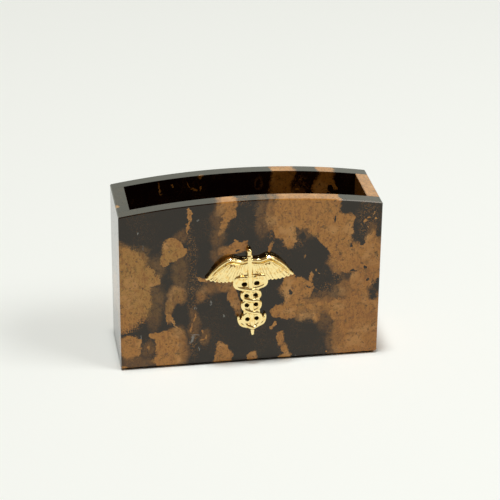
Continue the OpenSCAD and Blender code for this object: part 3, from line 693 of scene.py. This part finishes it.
def markHollows(mesh):
    # how far each point lies under its neighbours, kept for the material as the mask of its painted shade
    count = len(mesh.vertices)
    points = np.empty(3 * count)
    normals = np.empty(3 * count)
    ends = np.empty(2 * len(mesh.edges), dtype=int)
    mesh.vertices.foreach_get("co", points)
    mesh.vertices.foreach_get("normal", normals)
    mesh.edges.foreach_get("vertices", ends)
    points, normals, ends = points.reshape(-1, 3), normals.reshape(-1, 3), ends.reshape(-1, 2)
    both = np.concatenate((ends, ends[:, ::-1]))
    links = np.bincount(both[:, 0], minlength=count)

    def around(values):
        return np.bincount(both[:, 0], weights=values[both[:, 1]], minlength=count) / links

    middle = np.stack([around(points[:, k]) for k in range(3)], axis=1)
    depth = ((middle - points) * normals).sum(axis=1)
    for _ in range(goldLook["hollowPasses"]):
        depth = around(depth)
    start, end = goldLook["hollowAt"]
    share = np.clip((depth - start) / (end - start), 0, 1)
    mesh.attributes.new("hollowShade", "FLOAT", "POINT").data.foreach_set("value", share)


def castEmblem():
    # the casting's own solid, remeshed fine in millimetres and rubbed smooth as a plated casting is
    look = goldLook
    mesh = cupNodes["emblem"].data.copy()
    mesh.transform(Matrix.Scale(1 / mm, 4))
    bm = bmesh.new()
    bm.from_mesh(mesh)
    bmesh.ops.remove_doubles(bm, verts=bm.verts, dist=look["weldMm"])
    bm.to_mesh(mesh)
    bm.free()
    piece = addPiece("gilt_emblem", mesh, platedGold(), "emblem")
    remesh = piece.modifiers.new("fine skin", "REMESH")
    remesh.mode = "VOXEL"
    remesh.voxel_size = look["voxelMm"]
    rub = piece.modifiers.new("rubbed", "SMOOTH")
    rub.factor = look["rubFactor"]
    rub.iterations = look["rubPasses"]
    done = bpy.data.meshes.new_from_object(piece.evaluated_get(bpy.context.evaluated_depsgraph_get()))
    piece.modifiers.clear()
    markHollows(done)
    done.transform(Matrix.Scale(mm, 4))
    done.polygons.foreach_set("use_smooth", [True] * len(done.polygons))
    piece.data = done
    return piece


emblem = castEmblem()
print("emblem cast,", len(emblem.data.polygons), "faces")

# Wool felt, pressed and die cut: matt black with a loose nap that frays along the cut edge
feltLook = {
    "black": "#161514",
    "lint": "#3a3836",
    "fibreMm": 0.35,             # real fibres are far finer, and these are coarse enough to show
    "levels": {"lint": (0.5, 0.8)},
    "napDeepMm": 0.1,
    "napBump": 0.8,
    "roughness": 0.95,
    "sheen": 0.4,
    "sheenRoughness": 0.5,
    "cornerR": 2.0 * mm,
    "cornerSteps": 8,
    "edgeMm": 0.5,               # between points along the cut
    "edgeFray": 0.12 * mm,
    "faceInset": 0.05 * mm,
    "rows": (0, 0.33, 0.67, 1),  # shares of the thickness
    "seed": 7,
}


def pressedFelt():
    look = feltLook
    material, tree, shader, place = newMaterial("wool felt, pressed")
    fibres = addNode(tree, "TexNoise", {}, {
        "Vector": place, "Scale": 1 / look["fibreMm"], "Detail": 4, "Distortion": 1.5})
    share = addNode(tree, "MapRange", {}, {"Value": fibres.outputs["Fac"], **levels(look, "lint")})
    colour = addNode(tree, "Mix", colourMix, {
        0: share.outputs[0], 6: linear(look["black"]), 7: linear(look["lint"])})
    nap = addNode(tree, "Bump", {}, {
        "Strength": look["napBump"], "Distance": look["napDeepMm"] * mm, "Height": fibres.outputs["Fac"]})
    tree.links.new(colour.outputs[2], shader.inputs["Base Color"])
    tree.links.new(nap.outputs[0], shader.inputs["Normal"])
    shader.inputs["Roughness"].default_value = look["roughness"]
    shader.inputs["Sheen Weight"].default_value = look["sheen"]
    shader.inputs["Sheen Roughness"].default_value = look["sheenRoughness"]
    return material


def dieCutFelt():
    look = feltLook
    low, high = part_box("felt_base_pad")
    r = look["cornerR"]
    corners = [(high.x - r, high.y - r, 0), (low.x + r, high.y - r, 90),
               (low.x + r, low.y + r, 180), (high.x - r, low.y + r, 270)]
    ring = []
    for x, y, start in corners:
        for i in range(look["cornerSteps"] + 1):
            a = math.radians(start + 90 * i / look["cornerSteps"])
            ring.append(Vector((x + r * math.cos(a), y + r * math.sin(a), 0)))

    # even points along the cut
    cut = []
    for i, a in enumerate(ring):
        b = ring[(i + 1) % len(ring)]
        steps = max(1, round((b - a).length / (look["edgeMm"] * mm)))
        cut += [a.lerp(b, k / steps) for k in range(steps)]

    # each row of the edge frays inwards, and the rows on the two faces a little more
    rng = np.random.default_rng(look["seed"])
    bm = bmesh.new()
    rows = []
    for share in look["rows"]:
        z = low.z + (high.z - low.z) * share
        inset = look["faceInset"] if share in (0, 1) else 0
        row = []
        for p, f in zip(cut, rng.uniform(0, look["edgeFray"], len(cut)) + inset):
            inward = Vector((-p.x, -p.y, 0)).normalized()
            row.append(bm.verts.new((p.x + inward.x * f, p.y + inward.y * f, z)))
        rows.append(row)
    for a, b in zip(rows, rows[1:]):
        for i in range(len(cut)):
            j = (i + 1) % len(cut)
            bm.faces.new((a[i], a[j], b[j], b[i]))
    bm.faces.new(reversed(rows[0]))
    bm.faces.new(rows[-1])
    for face in bm.faces:
        face.smooth = len(face.verts) == 4  # the edge, and not the two faces
    mesh = bpy.data.meshes.new("felt_pad")
    bm.to_mesh(mesh)
    bm.free()
    piece = addPiece("felt_pad", mesh, pressedFelt(), "felt_base_pad")


dieCutFelt()
print("felt pad cut")

# Studio: a table of white laminate, smooth and nearly matt, with a small softbox overhead and
# another to the front right. Places and sizes are in metres
studio = {
    "table": "#f4f7f2",
    "tableReach": 3.0,           # from its middle to each side
    "tableRoughness": 0.9,
    "tableSpecular": 0.1,
    "overhead": {"at": (-0.16, -0.1, 3.6), "size": (0.45, 0.45), "power": 96, "aim": (0, 0, 0)},
    "side": {"at": (1.14, -0.6, 1.53), "size": (0.8, 0.8), "power": 12.2, "aim": (0, 0, 0.04)},
    "backdrop": "#fffffd",
    "seen": 0.93,                # the white that the eye sees past the table
    "wall": "#f9fff0",
    "mirrored": 1.19,            # the brighter wall behind, seen in the polish
    "room": "#ffdcab",
    "ahead": 0.2,                # the room in front and above, seen in the polish
    "dim": 0.05,                 # what the room adds to the lamps
    "wallSlope": 0.45,           # how the wall's upper edge climbs towards the back
    "levels": {"wall": (0.35, 0.05)},
}


def whiteTable():
    material, _, shader, _ = newMaterial("white table, laminated")
    shader.inputs["Base Color"].default_value = linear(studio["table"])
    shader.inputs["Roughness"].default_value = studio["tableRoughness"]
    shader.inputs["Specular IOR Level"].default_value = studio["tableSpecular"]
    reach = studio["tableReach"]
    bm = bmesh.new()
    corners = ((-reach, -reach), (reach, -reach), (reach, reach), (-reach, reach))
    bm.faces.new([bm.verts.new((x, y, 0)) for x, y in corners])
    mesh = bpy.data.meshes.new("table_top")
    bm.to_mesh(mesh)
    bm.free()
    coat(mesh, material)
    table = bpy.data.objects.new("table_top", mesh)
    bpy.context.scene.collection.objects.link(table)


def softbox(name, spec):
    lamp = bpy.data.lights.new(name, "AREA")
    lamp.shape = "RECTANGLE"
    lamp.size, lamp.size_y = spec["size"]
    lamp.energy = spec["power"]
    box = bpy.data.objects.new(name, lamp)
    box.location = spec["at"]
    box.rotation_euler = (Vector(spec["aim"]) - Vector(spec["at"])).to_track_quat("-Z", "Y").to_euler()
    bpy.context.scene.collection.objects.link(box)


def room():
    # white behind the table for the eye and for reflections, and a dim warm room in front and above
    world = bpy.data.worlds.new("studio room")
    bpy.context.scene.world = world
    world.use_nodes = True
    tree = world.node_tree
    tree.nodes.clear()
    ray = addNode(tree, "LightPath").outputs
    direction = addNode(tree, "SeparateXYZ", {}, {0: addNode(tree, "TexCoord").outputs["Generated"]})
    height = addNode(tree, "Math", timesPlus, {
        0: direction.outputs[1], 1: -studio["wallSlope"], 2: direction.outputs[2]})
    behind = addNode(tree, "MapRange", smooth, {
        "Value": height.outputs[0], **levels(studio, "wall")}).outputs[0]
    glow = addNode(tree, "Mix", {}, {0: behind, 2: studio["ahead"], 3: studio["mirrored"]})
    glowTint = addNode(tree, "Mix", colourMix, {
        0: behind, 6: linear(studio["room"]), 7: linear(studio["wall"])})
    mirror = addNode(tree, "Math", larger, {0: ray["Is Glossy Ray"], 1: ray["Is Transmission Ray"]})
    unseen = addNode(tree, "Mix", {}, {0: mirror.outputs[0], 2: studio["dim"], 3: glow.outputs[0]})
    level = addNode(tree, "Mix", {}, {0: ray["Is Camera Ray"], 2: unseen.outputs[0], 3: studio["seen"]})
    tint = addNode(tree, "Mix", colourMix, {
        0: ray["Is Camera Ray"], 6: glowTint.outputs[2], 7: linear(studio["backdrop"])})
    sky = addNode(tree, "Background", {}, {"Color": tint.outputs[2], "Strength": level.outputs[0]})
    addNode(tree, "OutputWorld", {}, {"Surface": sky.outputs[0]})


whiteTable()
softbox("overhead_softbox", studio["overhead"])
softbox("side_softbox", studio["side"])
room()
print("studio lit")

# Camera: fitted to the cup's edges in a 500 x 500 picture
view = {
    "azimuth": -9.60,            # degrees
    "elevation": 25.80,
    "roll": 0.625,
    "target": (2.51, 0, 48.59),  # mm
    "distance": 874.4,           # mm
    "focalPixels": 1880.4,
    "picture": 500,
    "sensor": 36,                # mm
    "clip": (0.05, 20),          # m
}


def placeCamera():
    azimuth, elevation, roll = (math.radians(view[k]) for k in ("azimuth", "elevation", "roll"))
    back = Vector((math.sin(azimuth) * math.cos(elevation), -math.cos(azimuth) * math.cos(elevation),
                   math.sin(elevation)))
    level = Vector((math.cos(azimuth), math.sin(azimuth), 0))
    upright = back.cross(level)
    right = level * math.cos(roll) + upright * math.sin(roll)
    up = upright * math.cos(roll) - level * math.sin(roll)
    at = (Vector(view["target"]) + back * view["distance"]) * mm
    data = bpy.data.cameras.new("photo camera")
    data.sensor_width = view["sensor"]
    data.lens = view["focalPixels"] * view["sensor"] / view["picture"]
    data.clip_start, data.clip_end = view["clip"]
    camera = bpy.data.objects.new("photo camera", data)
    camera.matrix_world = Matrix.Translation(at) @ Matrix((right, up, back)).transposed().to_4x4()
    bpy.context.scene.collection.objects.link(camera)
    bpy.context.scene.camera = camera


placeCamera()
bpy.context.scene.view_settings.view_transform = "Standard"
print("camera placed")
